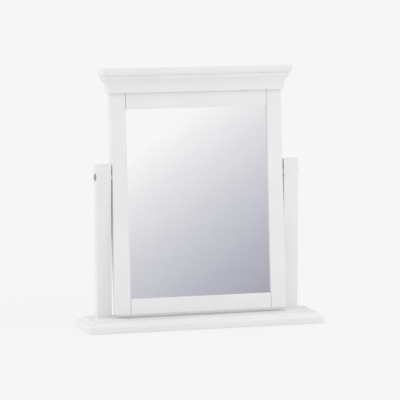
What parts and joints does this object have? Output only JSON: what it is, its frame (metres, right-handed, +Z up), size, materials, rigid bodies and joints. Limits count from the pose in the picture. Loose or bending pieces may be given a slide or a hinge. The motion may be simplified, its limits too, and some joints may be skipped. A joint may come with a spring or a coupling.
{
  "type": "tilting dressing-table mirror",
  "caption": "Framed mirror with a cornice top that tilts between two posts on a moulded base board, for standing on a dressing table.",
  "frame": {"origin": "on the table, under the middle of the base board's footprint", "axes": "+X to the right seen from the front, +Y from the front to the back, +Z up"},
  "size_m": [0.6, 0.134, 0.639],
  "materials": {
    "white_paint": "satin white paint on planed wood",
    "mirror_silver": "silvered float glass",
    "backing": "white-faced fibre board, matt",
    "beech_dowel": "fluted beech, bare",
    "pewter_bolt": "pewter-plated steel",
    "zinc_screw": "zinc-plated steel",
    "brass_insert": "turned brass",
    "nylon": "natural white nylon",
    "felt": "pressed felt, off-white"
  },
  "bodies": {
    "stand": {"base_board": "white_paint", "left_post": "white_paint", "right_post": "white_paint", "post_dowels": "beech_dowel", "post_screws": "zinc_screw", "felt_pads": "felt", "left_pivot_bush": "nylon", "right_pivot_bush": "nylon"},
    "mirror": {"left_stile": "white_paint", "right_stile": "white_paint", "top_rail": "white_paint", "bottom_rail": "white_paint", "top_rail_dowels": "beech_dowel", "bottom_rail_dowels": "beech_dowel", "cornice_cap": "white_paint", "cap_dowels": "beech_dowel", "cove_front": "white_paint", "cove_left": "white_paint", "cove_right": "white_paint", "mirror_glass": "mirror_silver", "backing_board": "backing", "backing_screws": "zinc_screw", "left_insert": "brass_insert", "right_insert": "brass_insert", "left_spacer": "nylon", "right_spacer": "nylon", "left_pivot_bolt": "pewter_bolt", "right_pivot_bolt": "pewter_bolt"}
  },
  "joints": [
    {"name": "mirror_tilt", "type": "hinge", "parent": "stand", "child": "mirror", "pos_m": [0, 0.03, 0.373], "axis": [-1, 0, 0], "range_deg": [-95, 85]}
  ]
}
